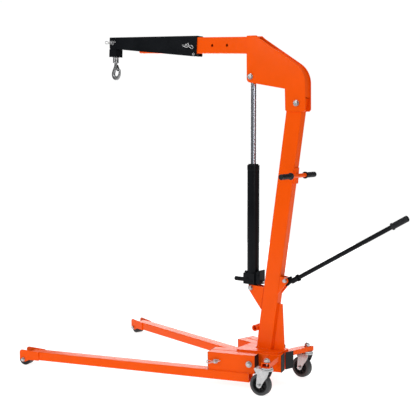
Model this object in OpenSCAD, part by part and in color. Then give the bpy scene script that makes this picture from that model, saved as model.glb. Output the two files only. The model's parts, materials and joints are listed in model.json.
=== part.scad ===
// Folding engine hoist crane: two splayed folding legs, a leaning mast, a hydraulic long ram
// and a boom with a sliding extension and a swivel hook.
// Millimetres, +Z up. The boom points towards -X, the pump handle towards +X.
// Plan positions are worked out from the line through the rear casters (x = 0 there), and
// placed() then moves everything so that the origin is under the middle of the crane.

/* [Legs] */
// Angle of each leg from the centreline, degrees
leg_splay = 14.8; // [13:0.1:16]
// Distance of a leg's centreline from the middle, at the caster line
leg_gap = 91; // [88:1:96]
// Width of a leg tube
leg_w = 58; // [54:1:62]
// Height of a leg tube
leg_h = 42; // [38:1:44]
// Height of the underside of a leg tube above the floor
leg_floor_gap = 33; // [31:1:38]
// Distance along the leg from the caster line to the front roller's axle
roller_reach = 1315; // [1100:5:1400]
// Diameter of a front roller
roller_d = 64; // [58:1:66]

/* [Base] */
// Width of a base tube
base_w = 50; // [48:1:54]
// Height of a base tube
base_h = 81; // [76:1:84]
// Length of the base tube and leg bracket in front of the caster line
base_reach = 302; // [295:1:330]
// Diameter of the bolt that a leg folds about
leg_bolt_d = 16; // [14:1:18]
// Distance along the leg from the caster line to its folding bolt
leg_bolt_reach = 101; // [98:1:110]
// Distance along the leg from the caster line to its lock pin
leg_pin_reach = 262; // [250:1:270]

/* [Casters] */
// Diameter of a rear caster wheel
wheel_d = 100; // [90:1:100]
// Width of a caster wheel
wheel_w = 32; // [28:1:34]
// Distance from a caster's swivel axis to its wheel's axle, seen from above
caster_trail = 31; // [28:1:34]
// Angle that a caster is turned outwards at rest, degrees
caster_yaw = 5; // [0:1:20]

/* [Mast] */
// Depth of the mast tube, front to back
mast_d = 80; // [76:1:84]
// Width of the mast tube
mast_w = 40; // [38:1:42]
// Backwards lean of the mast, degrees
mast_lean = 8.65; // [8.4:0.05:8.8]
// Height of the boom's pivot
pivot_z = 1297.5; // [1290:0.5:1305]
// Distance of the boom's pivot behind the caster line
pivot_x = 94; // [92:1:96]

/* [Boom] */
// Upward tilt of the boom at rest, degrees
boom_tilt = 3.7; // [3:0.1:4.2]
// Height of the boom tube
boom_h = 76; // [74:1:80]
// Reach of the boom tube's front end from the caster line
boom_reach = 828; // [790:1:840]
// Distance between the boom's pin holes
hole_pitch = 86; // [85:0.5:87]
// Diameter of a pin hole
hole_d = 14; // [13.8:0.1:14.5]
// Length of the sliding extension
extension_l = 570; // [562:1:578]

/* [Ram] */
// Distance of the ram's bottom bolt in front of the caster line
ram_foot_x = 160; // [158:1:162]
// Height of the ram's bottom bolt
ram_foot_z = 446; // [444:1:448]
// Distance of the ram's top bolt in front of the caster line
ram_head_x = 150; // [149:1:151]
// Height of the ram's top bolt
ram_head_z = 1425.5; // [1424:0.5:1427]
// Outer diameter of the cylinder
cylinder_d = 56; // [54:1:58]
// Diameter of the piston rod
rod_d = 26; // [24:1:28]

/* [Handles] */
// Angle of the pump handle above level, degrees
handle_angle = 29.6; // [25:0.2:32]
// Length of the pump handle tube
handle_l = 630; // [500:5:640]
// Overall length of the push bar
push_bar_l = 294; // [280:2:350]

/* [Hidden] */
$fn = 48;
wall = 4;                 // wall of the base, mast and boom tubes
run = 0.05;               // radial running clearance of a pin or shaft
slack = 0.5;              // gap beside a part that slides or turns flat against another
plate = 6;                // thickness of the head and bracket plates

// Heights of the base
leg_top = leg_floor_gap + leg_h;
base_z = leg_top + 2;
base_top = base_z + base_h;
base_mid = base_z + base_h / 2;
deck_t = 8;
deck_top = base_top + deck_t;

// Widths across a leg: the bracket stands on the leg, the base tube runs beside it
bracket_out = leg_w / 2 - 6;
bracket_in = -leg_w / 2;
bracket_back = 73.5;
base_out = bracket_in - slack;
base_in = base_out - base_w;
cap_t = 2.5;
base_back = -38;

// Casters
arm_s = -8;
arm_w = 40;
arm_h = 22;
arm_out = 112;
arm_top = 155;
stem_t = 89.5;
stem_r = 6;
axle_z = wheel_d / 2;
fork_gap = wheel_w / 2 + 2;

// Front rollers
roller_r = roller_d / 2;
leg_front = roller_reach - roller_r - 6;
cheek_t = 5;
cheek_back = roller_reach - 90;
cheek_front = roller_reach + 21;

// Where the whole crane starts and ends, for the origin in its middle
nose_x = cheek_front * cos(leg_splay) + (leg_w / 2 + cheek_t) * sin(leg_splay);
grip_d = 32;              // over the flanges of the pump handle's grip
lever_x = 29;
lever_z = 497.5;
handle_drop = 14.5;
socket_l = 62;
tail_x = lever_x + (socket_l + handle_l - 30) * cos(handle_angle)
       + (grip_d / 2 + handle_drop) * sin(handle_angle);
shift_x = (nose_x - tail_x) / 2;

// Mast: its foot's centre, so that the pivot lies just behind its centreline
pivot_back = 12.8;
mast_l = (pivot_z - deck_top + pivot_back * sin(mast_lean)) / cos(mast_lean);
mast_foot_x = pivot_x - pivot_back * cos(mast_lean) - mast_l * sin(mast_lean);
mast_over = 25;           // the tube passes the pivot by this much
pivot_r = 8;
bush_r = 12;

// Boom head
head_in = mast_w / 2 + slack;
head_out = head_in + plate;
boom_w = 2 * head_in - 0.02;
boom_mid_x = 268;
boom_mid_z = 1576;
ram_bolt_r = 6;

// Extension
sleeve_t = 4;
sleeve_in = head_in + slack;
sleeve_out = sleeve_in + sleeve_t;
sleeve_start = 461 - boom_mid_x;
sleeve_tip = sleeve_start + extension_l;
sleeve_inside = boom_h / 2 + slack;
sleeve_low = -boom_h / 2 - 14;
sleeve_pin = 246.5;
pin_z = -1;
spare_gap = 143;          // from the pin in use back to the nearest spare hole
pin_r = 6.5;
block_w = 47;
block_x = sleeve_tip - 25;
tip_pin_z = 12;

// Ram, drawn upright from its bottom bolt and leant to meet the top bolt
ram_l = norm([ram_head_x - ram_foot_x, ram_head_z - ram_foot_z]);
ram_lean = atan2(ram_foot_x - ram_head_x, ram_head_z - ram_foot_z);
gland_top = 580;
pump_z0 = 18;
pump_z1 = 70;
plunger_z = 32;
lug_w = mast_w - 2 * plate - 2 * slack;

// Lever linkage
arm_r = 20;
roller_tip_r = 7;
push_r = 6;
rod_z = lever_z - arm_r;

// Push bar
bar_z = 976;
bar_x = 86;
bar_r = 9.5;
push_grip_l = 87;

SIDES = ["left", "right"];

// ---------- frames ----------

// Moves the crane from the caster line to the origin
module placed() translate([shift_x, 0, 0]) children();

// Frame of one leg: x forwards along it, y outwards, from the caster line
module leg_frame(side)
  placed() mirror([0, side == "left" ? 0 : 1, 0])
    translate([0, -leg_gap, 0]) rotate([0, 0, 180 + leg_splay]) children();

// Frame of one caster: x forwards towards its wheel, from the swivel axis
module caster_frame(side)
  leg_frame(side) translate([arm_s, stem_t, 0]) rotate([0, 0, caster_yaw - leg_splay]) children();

// Frame of the mast: z up along it from the deck
module mast_frame()
  placed() translate([mast_foot_x, 0, deck_top]) rotate([0, mast_lean, 0]) children();

// Frame of the boom tube: x forwards along its centreline
module boom_frame()
  placed() translate([-boom_mid_x, 0, boom_mid_z]) rotate([0, boom_tilt, 0]) mirror([1, 0, 0]) children();

// Frame of the ram: z up along it from the bottom bolt
module ram_frame()
  placed() translate([-ram_foot_x, 0, ram_foot_z]) rotate([0, ram_lean, 0]) children();

// Frame of the pump lever: x out along the handle, from the lever's bolt
module lever_frame()
  placed() translate([lever_x, 0, lever_z]) rotate([0, -handle_angle, 0]) children();

// ---------- shared shapes ----------

// A block between two corners
module block(low, high) translate(low) cube(high - low);

// A square-cut tube between two corners, hollow along its x axis
module tube_x(low, high, t)
  difference() {
    block(low, high);
    block([low[0] - 1, low[1] + t, low[2] + t], [high[0] + 1, high[1] - t, high[2] - t]);
  }

// A cylinder along y from y0 to y1
module rod_y(r, y0, y1, x = 0, z = 0)
  translate([x, y0, z]) rotate([-90, 0, 0]) cylinder(r = r, h = y1 - y0);

// A cylinder along x from x0 to x1
module rod_x(r, x0, x1, z = 0, y = 0)
  translate([x0, y, z]) rotate([0, 90, 0]) cylinder(r = r, h = x1 - x0);

// A hexagon nut or head along y
module hex_y(flats, y0, y1, x = 0, z = 0)
  translate([x, y0, z]) rotate([-90, 0, 0]) cylinder(r = flats / sqrt(3), h = y1 - y0, $fn = 6);

// A flat plate drawn in x and z, from y0 to y1
module plate_y(points, y0, y1)
  translate([0, y1, 0]) rotate([90, 0, 0]) linear_extrude(y1 - y0) polygon(points);

// Points of an arc about a centre
function arc(cx, cz, r, a0, a1, n = 10) =
  [for (i = [0:n]) let (a = a0 + (a1 - a0) * i / n) [cx + r * cos(a), cz + r * sin(a)]];

// A cross bolt along y: washers, a hexagon head at the low end and a nut at the high end
module bolt_y(r, y0, y1, flats, x = 0, z = 0)
  union() {
    rod_y(r, y0 - 2, y1 + 12, x, z);
    rod_y(flats * 0.62, y0 - 2.5, y0, x, z);
    hex_y(flats, y0 - 10, y0 - 2.4, x, z);
    rod_y(flats * 0.62, y1, y1 + 2.5, x, z);
    hex_y(flats, y1 + 2.4, y1 + 10, x, z);
  }

// A spring clip of bent wire through a pin's end, in the plane y = 0: a straight leg through
// the origin along x, and a leg that bends back over the pin
clip_r = 1.7;
clip_wire = [[-28, 0], [36, 0], [43, 7.5], [36, 14], [15, 4.4], [6, 9], [-6, 9], [-14, 5.5]];
module spring_clip()
  union() {
    for (i = [0:len(clip_wire) - 2])
      let (a = clip_wire[i], d = clip_wire[i + 1] - a)
        translate([a[0], 0, a[1]]) rotate([0, atan2(d[0], d[1]), 0]) cylinder(r = clip_r, h = norm(d));
    for (i = [1:len(clip_wire) - 2])
      translate([clip_wire[i][0], 0, clip_wire[i][1]]) sphere(clip_r + 0.2);
  }

// ---------- base ----------

module base_tube(side)
  color([0.93, 0.33, 0.05]) leg_frame(side)
    difference() {
      tube_x([base_back + cap_t, base_in, base_z], [base_reach, base_out, base_top], wall);
      for (s = [leg_bolt_reach, leg_pin_reach])
        rod_y(s == leg_pin_reach ? pin_r + slack : leg_bolt_d / 2 + run,
              base_in - 1, base_out + 1, s, base_mid);
    }
module base_tube_left() base_tube("left");
module base_tube_right() base_tube("right");

// A closed cap on a tube's end at x: a flange that points away from the tube and a plug inside
module end_cap(x, flange, low, high)
  let (plug = -14 * sign(flange))
    union() {
      block([min(x, x + flange), low[0], low[1]], [max(x, x + flange), high[0], high[1]]);
      block([min(x, x + plug), low[0] + wall, low[1] + wall],
            [max(x, x + plug), high[0] - wall, high[1] - wall]);
    }

module base_caps()
  color([0.1, 0.1, 0.11]) for (side = SIDES) leg_frame(side)
    union() {
      end_cap(base_back + cap_t, -cap_t, [base_in, base_z], [base_out, base_top]);
      end_cap(base_reach, cap_t, [base_in, base_z], [base_out, base_top]);
    }

// Half width of the deck at a distance in front of the caster line
function deck_half(x) = leg_gap + x * tan(leg_splay) + (base_out - 12) / cos(leg_splay);

module deck_plate()
  color([0.93, 0.33, 0.05]) placed() translate([0, 0, base_top])
    linear_extrude(deck_t)
      polygon([[6, -deck_half(-6)], [-185, -deck_half(185)], [-200, -deck_half(185) + 15],
               [-200, deck_half(185) - 15], [-185, deck_half(185)], [6, deck_half(-6)]]);

// Upright plates between the base tubes, under the deck
web_x = 188;
module cross_webs()
  color([0.93, 0.33, 0.05]) placed()
    for (x = [web_x, 20])
      let (y = leg_gap + x * tan(leg_splay) + base_in / cos(leg_splay), w = 8 * tan(leg_splay))
        translate([0, 0, base_z + 12]) linear_extrude(base_h - 12)
          polygon([[-x, -y], [8 - x, w - y], [8 - x, y - w], [-x, y]]);

module caster_arms()
  color([0.93, 0.33, 0.05]) for (side = SIDES) leg_frame(side)
    difference() {
      block([arm_s - arm_w / 2, base_out, arm_top - arm_h], [arm_s + arm_w / 2, arm_out, arm_top]);
      block([arm_s - arm_w / 2 + 3, base_out - 1, arm_top - arm_h + 3],
            [arm_s + arm_w / 2 - 3, arm_out + 1, arm_top - 3]);
      translate([arm_s, stem_t, arm_top - arm_h - 1]) cylinder(r = stem_r, h = arm_h + 2);
    }

// ---------- mast ----------

module mast()
  color([0.93, 0.33, 0.05])
    difference() {
      mast_frame() difference() {
        block([-mast_d / 2, -mast_w / 2, -30], [mast_d / 2, mast_w / 2, mast_l + mast_over]);
        block([-mast_d / 2 + wall, -mast_w / 2 + wall, -60],
              [mast_d / 2 - wall, mast_w / 2 - wall, mast_l + mast_over + 1]);
        rod_y(bush_r, -mast_w, mast_w, pivot_back, mast_l);
      }
      placed() block([-400, -100, deck_top - 100], [200, 100, deck_top]);
      placed() rod_x(push_r + 2, -200, 60, rod_z);
    }

module mast_bush()
  color([0.62, 0.63, 0.65]) placed()
    difference() {
      rod_y(bush_r - 0.02, -mast_w / 2 - 0.3, mast_w / 2 + 0.3, pivot_x, pivot_z);
      rod_y(pivot_r + run, -mast_w, mast_w, pivot_x, pivot_z);
    }

// Stiffening rib up the back of the mast's foot
touch = 0.02;             // welded plates stand this far off the mast
gusset_top = 384;
function mast_back(z) = mast_foot_x + (z - deck_top) * tan(mast_lean) + mast_d / 2 / cos(mast_lean);
function mast_front(z) = mast_back(z) - mast_d / cos(mast_lean);
module mast_gusset()
  color([0.93, 0.33, 0.05]) placed()
    plate_y([[mast_back(deck_top) + touch, deck_top], [mast_back(deck_top) + 64, deck_top],
             [mast_back(gusset_top) + 20, gusset_top], [mast_back(gusset_top) + touch, gusset_top]], -4, 4);

// Lug plates on the mast: the front pair holds the ram's foot, the rear pair the pump lever
module mast_lugs()
  color([0.93, 0.33, 0.05]) placed()
    for (y = [-mast_w / 2, mast_w / 2 - plate])
      difference() {
        union() {
          plate_y(concat([[mast_front(456) - touch, 456], [mast_front(350) - touch, 350]],
                         arc(-ram_foot_x, ram_foot_z, 15, 215, 95)), y, y + plate);
          plate_y(concat([[mast_back(430) + touch, 430]], arc(lever_x + 2, lever_z, 12.5, -25, 75),
                         [[mast_back(514) + touch, 514]]), y, y + plate);
        }
        rod_y(ram_bolt_r + run, -mast_w, mast_w, -ram_foot_x, ram_foot_z);
        rod_y(ram_bolt_r + run, -mast_w, mast_w, lever_x, lever_z);
      }

// Short tube across the front of the mast, where the pump handle is stowed
holder_z = 260;
holder_r = 15;
holder_bore = 10.4;
module handle_holder()
  color([0.93, 0.33, 0.05]) placed()
    difference() {
      rod_y(holder_r, -30, 30, mast_front(holder_z) - holder_r, holder_z);
      rod_y(holder_bore, -31, 31, mast_front(holder_z) - holder_r, holder_z);
      mast_frame_box();
    }

module mast_bolt()
  color([0.78, 0.79, 0.8]) placed()
    bolt_y(pivot_r, -head_out - slack, head_out + slack, 22, pivot_x, pivot_z);

// The bolts of the ram's foot and of the pump lever
module bracket_bolts()
  color([0.78, 0.79, 0.8]) placed()
    for (at = [[-ram_foot_x, ram_foot_z, 19], [lever_x, lever_z, 16]])
      bolt_y(ram_bolt_r, -mast_w / 2, mast_w / 2, at[2], at[0], at[1]);

module leg_bolts()
  color([0.78, 0.79, 0.8]) for (side = SIDES) leg_frame(side)
    bolt_y(leg_bolt_d / 2, base_in, bracket_out + slack, 24, leg_bolt_reach, base_mid);

// Push bar across the back of the mast, on a channel bracket
module push_bar()
  color([0.93, 0.33, 0.05]) placed()
    difference() {
      union() {
        rod_y(bar_r, -push_bar_l / 2 + 4, push_bar_l / 2 - 4, bar_x, bar_z);
        difference() {
          plate_y([[mast_back(bar_z - 36) - 1, bar_z - 36], [mast_back(bar_z - 36) + 11, bar_z - 36],
                   [mast_back(bar_z + 36) + 6, bar_z + 36], [mast_back(bar_z + 36) - 1, bar_z + 36]], -15, 15);
          plate_y([[mast_back(bar_z - 60) - 1, bar_z - 60], [mast_back(bar_z - 60) + 9, bar_z - 60],
                   [mast_back(bar_z + 60) + 0.6, bar_z + 60], [mast_back(bar_z + 60) - 1, bar_z + 60]],
                  -11, 11);
          mast_frame_box();
        }
      }
      rod_y(bar_r - 2.5, -push_bar_l, push_bar_l, bar_x, bar_z);
    }

// Space taken by the mast's section
module mast_frame_box()
  translate([-shift_x, 0, 0]) mast_frame()
    block([-mast_d / 2, -mast_w / 2, 0], [mast_d / 2, mast_w / 2, mast_l]);

module push_grips()
  color([0.13, 0.14, 0.15]) placed()
    for (side = [-1, 1])
      mirror([0, side > 0 ? 0 : 1, 0])
        difference() {
          union() {
            rod_y(12.5, push_bar_l / 2 - push_grip_l, push_bar_l / 2, bar_x, bar_z);
            rod_y(16, push_bar_l / 2 - push_grip_l, push_bar_l / 2 - push_grip_l + 6, bar_x, bar_z);
          }
          rod_y(bar_r, push_bar_l / 2 - push_grip_l - 1, push_bar_l / 2 - 4, bar_x, bar_z);
        }

// ---------- casters ----------

fork_top = arm_top - arm_h - 7;
module caster_stems()
  color([0.66, 0.67, 0.68]) for (side = SIDES) caster_frame(side)
    union() {
      translate([0, 0, fork_top - 13]) cylinder(r = stem_r, h = arm_top + 17 - fork_top + 13);
      translate([0, 0, fork_top - 13]) cylinder(r = 11, h = 7.8);
      translate([0, 0, fork_top]) cylinder(r = 26, h = 7);
      translate([0, 0, arm_top]) cylinder(r = 16, h = 2.5);
      translate([0, 0, arm_top + 2.4]) cylinder(r = 24 / sqrt(3), h = 12, $fn = 6);
    }

// Pressed fork: a top plate that reaches over the wheel and two cheeks that narrow to the axle
module caster_fork(side)
  color([0.66, 0.67, 0.68]) caster_frame(side)
    difference() {
      union() {
        translate([0, 0, fork_top - 5]) cylinder(r = 28, h = 5 - 0.2);
        block([0, -fork_gap - 3, fork_top - 5], [54, fork_gap + 3, fork_top - 0.2]);
        for (y = [-fork_gap - 3, fork_gap])
          plate_y(concat([[-18, fork_top - 0.2], [-18, fork_top - 16], [-9, 88], [5, 70], [17, 50]],
                         arc(caster_trail, axle_z, 13, 200, 370),
                         [[40, 96], [47, 108], [54, fork_top - 8], [54, fork_top - 0.2]]),
                  y, y + 3);
      }
      translate([0, 0, fork_top - 6]) cylinder(r = stem_r + run, h = 8);
      rod_y(stem_r + run, -30, 30, caster_trail, axle_z);
    }
module caster_fork_left() caster_fork("left");
module caster_fork_right() caster_fork("right");

module caster_axle(side)
  color([0.78, 0.79, 0.8]) caster_frame(side)
    bolt_y(stem_r, -fork_gap - 3, fork_gap + 3, 13, caster_trail, axle_z);
module caster_axle_left() caster_axle("left");
module caster_axle_right() caster_axle("right");

// Tyre with rounded shoulders, turned about y
module ring_y(r_in, r_out, half, shoulder)
  rotate([90, 0, 0]) rotate_extrude($fn = 96)
    polygon(concat([[r_in, -half]], arc(r_out - shoulder, -half + shoulder, shoulder, -90, 0, 5),
                   arc(r_out - shoulder, half - shoulder, shoulder, 0, 90, 5), [[r_in, half]]));

module caster_wheel(side)
  color([0.2, 0.2, 0.21]) caster_frame(side) translate([caster_trail, 0, axle_z])
    ring_y(36, wheel_d / 2, wheel_w / 2, 6);
module caster_wheel_left() caster_wheel("left");
module caster_wheel_right() caster_wheel("right");

module caster_hub(side)
  color([0.12, 0.12, 0.13]) caster_frame(side) translate([caster_trail, 0, axle_z])
    rotate([90, 0, 0]) rotate_extrude($fn = 96)
      polygon([[stem_r + run, -fork_gap + 0.5], [14, -fork_gap + 0.5], [14, -8], [30, -8], [32, -14],
               [36, -14], [36, 14], [32, 14], [30, 8], [14, 8], [14, fork_gap - 0.5],
               [stem_r + run, fork_gap - 0.5]]);
module caster_hub_left() caster_hub("left");
module caster_hub_right() caster_hub("right");

// ---------- legs ----------

module leg_tube(side)
  color([0.93, 0.33, 0.05]) leg_frame(side)
    tube_x([100, -leg_w / 2, leg_floor_gap], [leg_front, leg_w / 2, leg_top], 3);
module leg_tube_left() leg_tube("left");
module leg_tube_right() leg_tube("right");

// Box that stands on the leg beside the base tube and carries the folding bolt and lock pin
module leg_bracket(side)
  color([0.93, 0.33, 0.05]) leg_frame(side)
    difference() {
      tube_x([bracket_back, bracket_in, leg_top], [base_reach, bracket_out, base_top], wall);
      rod_y(leg_bolt_d / 2 + run, bracket_in - 1, bracket_out + 1, leg_bolt_reach, base_mid);
      rod_y(pin_r + run, bracket_in - 1, bracket_out + 1, leg_pin_reach, base_mid);
    }
module leg_bracket_left() leg_bracket("left");
module leg_bracket_right() leg_bracket("right");

module bracket_caps(side)
  color([0.1, 0.1, 0.11]) leg_frame(side)
    union() {
      end_cap(bracket_back, -cap_t, [bracket_in, leg_top], [bracket_out, base_top]);
      end_cap(base_reach, cap_t, [bracket_in, leg_top], [bracket_out, base_top]);
    }
module bracket_caps_left() bracket_caps("left");
module bracket_caps_right() bracket_caps("right");

// Cheek plates beside the leg's end, raised a little at the front
module roller_cheeks(side)
  color([0.93, 0.33, 0.05]) leg_frame(side)
    for (y = [-leg_w / 2 - cheek_t, leg_w / 2])
      difference() {
        plate_y(concat([[cheek_back, leg_floor_gap - 1], [roller_reach - 34, leg_floor_gap - 1],
                        [roller_reach - 14, 22], [roller_reach + 8, 20], [cheek_front, 38]],
                       arc(cheek_front - 14, 68, 14, 0, 95, 6),
                       [[cheek_back, leg_top + 1]]), y, y + cheek_t);
        rod_y(stem_r + run, -60, 60, roller_reach, roller_r);
      }
module roller_cheeks_left() roller_cheeks("left");
module roller_cheeks_right() roller_cheeks("right");

module roller_axle(side)
  color([0.78, 0.79, 0.8]) leg_frame(side)
    bolt_y(stem_r, -leg_w / 2 - cheek_t, leg_w / 2 + cheek_t, 17, roller_reach, roller_r);
module roller_axle_left() roller_axle("left");
module roller_axle_right() roller_axle("right");

module front_roller(side)
  color([0.1, 0.1, 0.11]) leg_frame(side) translate([roller_reach, 0, roller_r])
    rotate([90, 0, 0]) rotate_extrude($fn = 96)
      polygon(concat([[stem_r + run, -leg_w / 2 + 1], [14, -leg_w / 2 + 1], [14, -22], [roller_r - 3, -22]],
                     [[roller_r, -19], [roller_r, 19], [roller_r - 3, 22], [14, 22], [14, leg_w / 2 - 1]],
                     [[stem_r + run, leg_w / 2 - 1]]));
module front_roller_left() front_roller("left");
module front_roller_right() front_roller("right");

// Lock pin of a leg with its spring clip. The shank is left out where it would cross the base
// tube, so that the leg can fold with the pin at home.
tip_out = 9;
module leg_pin(side)
  color([0.72, 0.73, 0.75]) leg_frame(side) translate([leg_pin_reach, 0, base_mid])
    union() {
      rod_y(pin_r, bracket_in + 0.2, bracket_out + 20);
      rod_y(10, bracket_out + 0.2, bracket_out + 4);
      translate([0, bracket_out + 12, 0]) rotate([0, 16, 0]) spring_clip();
      rod_y(pin_r, base_in - tip_out, base_in - 0.3);
    }
module leg_pin_left() leg_pin("left");
module leg_pin_right() leg_pin("right");

// ---------- boom ----------

module boom_tube()
  color([0.93, 0.33, 0.05]) boom_frame()
    difference() {
      tube_x([-boom_mid_x + 118, -boom_w / 2, -boom_h / 2],
             [boom_reach - boom_mid_x, boom_w / 2, boom_h / 2], wall);
      for (x = [-spare_gap - hole_pitch, -spare_gap, 0, hole_pitch, 2 * hole_pitch])
        rod_y(hole_d / 2, -boom_w, boom_w, sleeve_pin + x, pin_z);
    }

// Side plates of the boom's head: they carry the boom on the mast and take the ram's top bolt
function head_corner(r) = arc(28, 1380, r, 3, 57, 16);
module head_plates()
  color([0.95, 0.34, 0.04]) placed()
    for (side = [-1, 1])
      difference() {
        plate_y(concat([[-168, 1611.5], [-ram_head_x - 21, 1606], [-ram_head_x - 21, ram_head_z - 2]],
                       arc(-ram_head_x - 2, ram_head_z - 8, 19, 190, 258, 6),
                       [[33.5, 1363], [35.5, 1269], [43, 1262], [130, 1260], [138, 1268]],
                       head_corner(110), [[-104, 1597], [-118, 1609]]),
                side < 0 ? -head_out : head_in, side < 0 ? -head_in : head_out);
        rod_y(pivot_r + run, -60, 60, pivot_x, pivot_z);
        rod_y(ram_bolt_r + run, -60, 60, -ram_head_x, ram_head_z);
      }

// Bent strip that closes the back of the head between its plates, a little inside their edges
module head_strip()
  color([0.9, 0.31, 0.05]) placed()
    difference() {
      plate_y(concat([[132, 1322]], head_corner(104), [[-107.3, 1592], [-110.5, 1586.9]],
                     arc(28, 1380, 98, 57, 3, 16), [[126, 1322]]),
              -head_in, head_in);
      boom_frame() block([-150.2, -60, -boom_h / 2 - 0.2], [200, 60, boom_h / 2 + 0.2]);
    }

module ram_top_bolt()
  color([0.78, 0.79, 0.8]) placed()
    bolt_y(ram_bolt_r, -head_out, head_out, 22, -ram_head_x, ram_head_z);

// ---------- extension ----------

// Inverted channel with tapered sides that slides over the boom tube. Its top is a little
// thicker at the back than at the front.
clamp_z = -boom_h / 2 - 4.5;
module extension_sleeve()
  color([0.1, 0.11, 0.12]) boom_frame()
    difference() {
      union() {
        for (y = [-sleeve_out, sleeve_in])
          plate_y([[sleeve_start, sleeve_inside + 6.5], [sleeve_start, sleeve_low],
                   [sleeve_start + 22, sleeve_low], [sleeve_tip - 2, -15], [sleeve_tip, 12],
                   [sleeve_tip, sleeve_inside + 3]], y, y + sleeve_t);
        plate_y([[sleeve_start, sleeve_inside], [sleeve_tip, sleeve_inside], [sleeve_tip, sleeve_inside + 3],
                 [sleeve_start, sleeve_inside + 6.5]], -sleeve_out, sleeve_out);
        block([sleeve_start, -sleeve_out, sleeve_low],
              [sleeve_start + 22, sleeve_out, sleeve_low + sleeve_t]);
      }
      rod_y(pin_r + run, -60, 60, sleeve_pin, pin_z);
      rod_y(pin_r + run, -60, 60, block_x, tip_pin_z);
      rod_y(3 + run, -60, 60, sleeve_start + 14, clamp_z);
    }

module sleeve_bolt()
  color([0.78, 0.79, 0.8]) boom_frame()
    bolt_y(3, -sleeve_out, sleeve_out, 10, sleeve_start + 14, clamp_z);

// Square tube under the extension's tip: wide below the channel's sides, narrow between them,
// closed below by a thick floor for the hook's swivel
shank_r = 8;
block_low = -58;
block_step = -19;
block_back = block_x + 25 - block_w;
module hook_block()
  color([0.09, 0.1, 0.11]) boom_frame()
    difference() {
      union() {
        block([block_back, -sleeve_in + 0.1, block_low + 1], [block_back + block_w, sleeve_in - 0.1, 36]);
        block([block_back, -sleeve_out, block_low], [block_back + block_w, sleeve_out, block_step]);
      }
      block([block_back + 4, -sleeve_in + 4, block_low + 8],
            [block_back + block_w - 4, sleeve_in - 4, 37]);
      rod_y(pin_r + run, -60, 60, block_x, tip_pin_z);
      translate([block_x, 0, block_low - 2]) cylinder(r = shank_r + run, h = 20);
    }

// A through pin with a collar and a spring clip at its near end
module clip_pin(half, lean)
  union() {
    rod_y(pin_r, -half - 18, half + 9);
    rod_y(10, -half - 4, -half - 0.2);
    translate([0, -half - 12, 0]) rotate([0, lean, 0]) spring_clip();
  }

// Lock pin of the extension. Its shank is left out inside the boom tube, so that the
// extension can slide with the pin at home.
module extension_pin()
  color([0.72, 0.73, 0.75]) boom_frame() translate([sleeve_pin, 0, pin_z])
    difference() {
      clip_pin(sleeve_out, 177);
      rod_y(pin_r + 1, -sleeve_in + 0.2, sleeve_in - 0.2);
    }

module tip_pin()
  color([0.72, 0.73, 0.75]) boom_frame() translate([block_x, 0, tip_pin_z]) clip_pin(sleeve_out, 8);

// ---------- hook ----------

// Frame of the hook, upright, from the pin that it hangs on
eye_drop = 21;            // the hook's pin is this far below the block
module hook_frame()
  placed() translate([-boom_mid_x, 0, boom_mid_z]) rotate([0, boom_tilt, 0])
    translate([-block_x, 0, block_low - eye_drop]) rotate([0, -boom_tilt, 0]) children();

// Swivel: a shank through the block's floor with a nut on it, and a fork below for the hook
module hook_swivel()
  color([0.7, 0.71, 0.73]) boom_frame() translate([block_x, 0, block_low])
    difference() {
      union() {
        translate([0, 0, -6]) cylinder(r = shank_r, h = 30);
        translate([0, 0, 8.3]) cylinder(r = 22 / sqrt(3), h = 10, $fn = 6);
        translate([0, 0, -30]) cylinder(r = 15, h = 29.7);
      }
      block([-20, -7, -40], [20, 7, -10]);
      rod_y(4.5 + run, -20, 20, 0, -eye_drop);
    }

// Hook: an eye on its own cross pin, a broad back, a round bowl and a raised tip
hook_t = 13;
module hook()
  color([0.74, 0.75, 0.76]) hook_frame()
    union() {
      rod_y(4.5, -14.5, 14.5);
      rod_y(9.5, -hook_t / 2, hook_t / 2);
      rotate([90, 0, 0]) linear_extrude(hook_t, center = true)
        difference() {
          union() {
            translate([1, -68]) circle(29, $fn = 96);
            polygon([[-8, -3], [8, -3], [8, -24], [0, -50], [-20, -66], [-26.5, -58], [-19, -38],
                     [-12, -14]]);
            polygon([[10, -70], [27, -72], [31, -52], [29, -40], [25, -43], [19, -58]]);
          }
          translate([5, -63]) circle(13, $fn = 72);
          polygon([[-7, -62], [17, -62], [20, -55], [25, -43], [26, -36], [7, -30], [1, -42]]);
        }
    }

// Safety latch: two cheeks beside the hook's neck, joined by a bridge inside its tip
latch_half = hook_t / 2 + 0.3;
module hook_latch()
  color([0.6, 0.61, 0.63]) hook_frame()
    union() {
      for (y = [-latch_half - 1.5, latch_half])
        plate_y([[-2, -17], [7, -17], [20, -44], [19.5, -51], [14, -51], [-2, -25]], y, y + 1.5);
      plate_y([[16, -45], [20, -44], [19.5, -51], [15.5, -51]], -latch_half, latch_half);
      for (y = [-latch_half - 3, latch_half + 1.4]) rod_y(3.4, y, y + 1.6, 3, -21);
    }

// ---------- ram ----------

gland_h = 18;
module ram_cylinder()
  color([0.07, 0.08, 0.09]) ram_frame()
    difference() {
      translate([0, 0, pump_z1]) cylinder(r = cylinder_d / 2, h = gland_top - gland_h - pump_z1, $fn = 96);
      translate([0, 0, pump_z1 + 8]) cylinder(r = cylinder_d / 2 - 5, h = gland_top, $fn = 96);
    }

module cylinder_gland()
  color([0.1, 0.11, 0.12]) ram_frame()
    difference() {
      union() {
        translate([0, 0, gland_top - gland_h]) cylinder(r = cylinder_d / 2 + 1, h = gland_h - 5, $fn = 96);
        translate([0, 0, gland_top - 5]) cylinder(r = cylinder_d / 2 - 4, h = 5, $fn = 96);
      }
      translate([0, 0, gland_top - 50]) cylinder(r = rod_d / 2 + run, h = 60);
    }

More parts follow.
